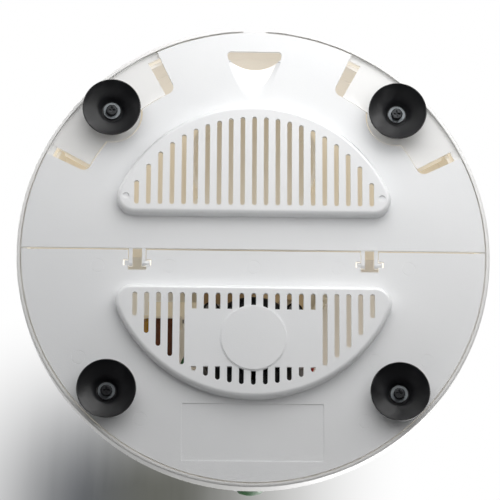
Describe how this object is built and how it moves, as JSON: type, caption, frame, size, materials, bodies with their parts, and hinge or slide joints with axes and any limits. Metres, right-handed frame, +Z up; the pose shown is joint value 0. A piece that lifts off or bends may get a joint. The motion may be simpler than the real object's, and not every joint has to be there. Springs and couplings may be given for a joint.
{
  "type": "electric potato peeler",
  "caption": "Electric potato peeler: round motor base on suction feet, peeling drum with blades, driven turntable, hinged clear lid and a cord compartment underneath.",
  "frame": {"origin": "centre of the circle that the housing's axis makes on the table, in the plane of the suction feet", "axes": "+Z up along the drum's axis, -Y towards the power button, +Y towards the lid hinge and the cord exit"},
  "size_m": [0.25, 0.2499, 0.2201],
  "materials": {
    "white_abs": "satin",
    "cream_plastic": "matt",
    "black_rubber": "satin",
    "black_plastic": "satin",
    "green_plastic": "gloss",
    "clear_plastic": "gloss",
    "drum_plastic": "satin",
    "nylon": "satin",
    "steel": "bright",
    "zinc_steel": "satin",
    "copper": "enamelled",
    "brass": "satin",
    "amber_tape": "gloss",
    "wire_sheath": "gloss"
  },
  "bodies": {
    "base": {"housing": "white_abs", "base_ring": "white_abs", "drum_well": "white_abs", "mounting_posts": "white_abs", "front_base_plate": "white_abs", "cord_tray": "cream_plastic", "cord_spool": "cream_plastic", "cord_gland": "black_rubber", "rubber_feet": "black_rubber", "foot_washers": "steel", "foot_screws": "steel", "case_screws": "steel", "button_spring": "steel", "power_switch": "black_plastic", "interlock_spring": "steel", "interlock_switch": "black_plastic", "gearbox_plate": "zinc_steel", "motor_stator": "zinc_steel", "coil_bobbin": "nylon", "field_coil": "copper", "coil_tape": "amber_tape", "motor_end_cap": "black_plastic", "motor_screws": "steel", "motor_bearings": "brass", "brush_holders": "brass", "carbon_brushes": "black_plastic", "spindle_bushes": "brass", "thrust_washers": "steel", "shaft_seal": "black_rubber", "peeling_drum": "drum_plastic", "peeling_blades": "steel", "blade_rivets": "steel", "lid_hinge_pins": "steel", "terminal_block": "nylon", "suppressor_capacitor": "amber_tape", "motor_leads": "wire_sheath"},
    "cord_door": {"cord_door": "white_abs"},
    "power_button": {"power_button": "green_plastic"},
    "interlock": {"interlock_plunger": "nylon"},
    "lid": {"lid_dome": "clear_plastic", "lid_shoulder": "clear_plastic", "lid_wall": "clear_plastic", "lid_collar": "white_abs", "lid_seal": "black_rubber", "lid_knob": "white_abs", "knob_screw": "steel"},
    "turntable": {"turntable": "nylon", "drive_coupling": "steel", "spindle": "steel", "drive_gear": "nylon", "spindle_circlip": "steel"},
    "rotor": {"motor_shaft": "steel", "rotor_core": "zinc_steel", "rotor_windings": "copper", "commutator": "copper", "cooling_fan": "black_plastic", "pinion": "steel"}
  },
  "joints": [
    {"name": "cord_door_hinge", "type": "hinge", "parent": "base", "child": "cord_door", "pos_m": [0, -0.006, 0.0132], "axis": [-1, 0, 0], "range_deg": [0, 100]},
    {"name": "power_button_slide", "type": "slide", "parent": "base", "child": "power_button", "axis": [0, 1, 0], "range_m": [0, 0.003], "stiffness_N_per_m": 300, "springref_m": -0.004, "deforming": ["button_spring"]},
    {"name": "lid_hinge", "type": "hinge", "parent": "base", "child": "lid", "pos_m": [0, 0.109, 0.113], "axis": [-1, 0, 0], "range_deg": [0, 95]},
    {"name": "interlock_slide", "type": "slide", "parent": "base", "child": "interlock", "axis": [0, 0, 1], "range_m": [0, 0.0026], "deforming": ["interlock_spring"]},
    {"name": "turntable_spin", "type": "hinge", "parent": "base", "child": "turntable", "pos_m": [0, 0, 0.08], "axis": [0, 0, 1], "continuous": true},
    {"name": "rotor_spin", "type": "hinge", "parent": "base", "child": "rotor", "pos_m": [0, -0.05, 0.03], "axis": [0, 0, 1], "continuous": true}
  ],
  "couplings": [
    {"joint": "interlock_slide", "follows": "lid_hinge", "m_per_rad": 0.0015},
    {"joint": "rotor_spin", "follows": "turntable_spin", "ratio": -6.1429}
  ]
}
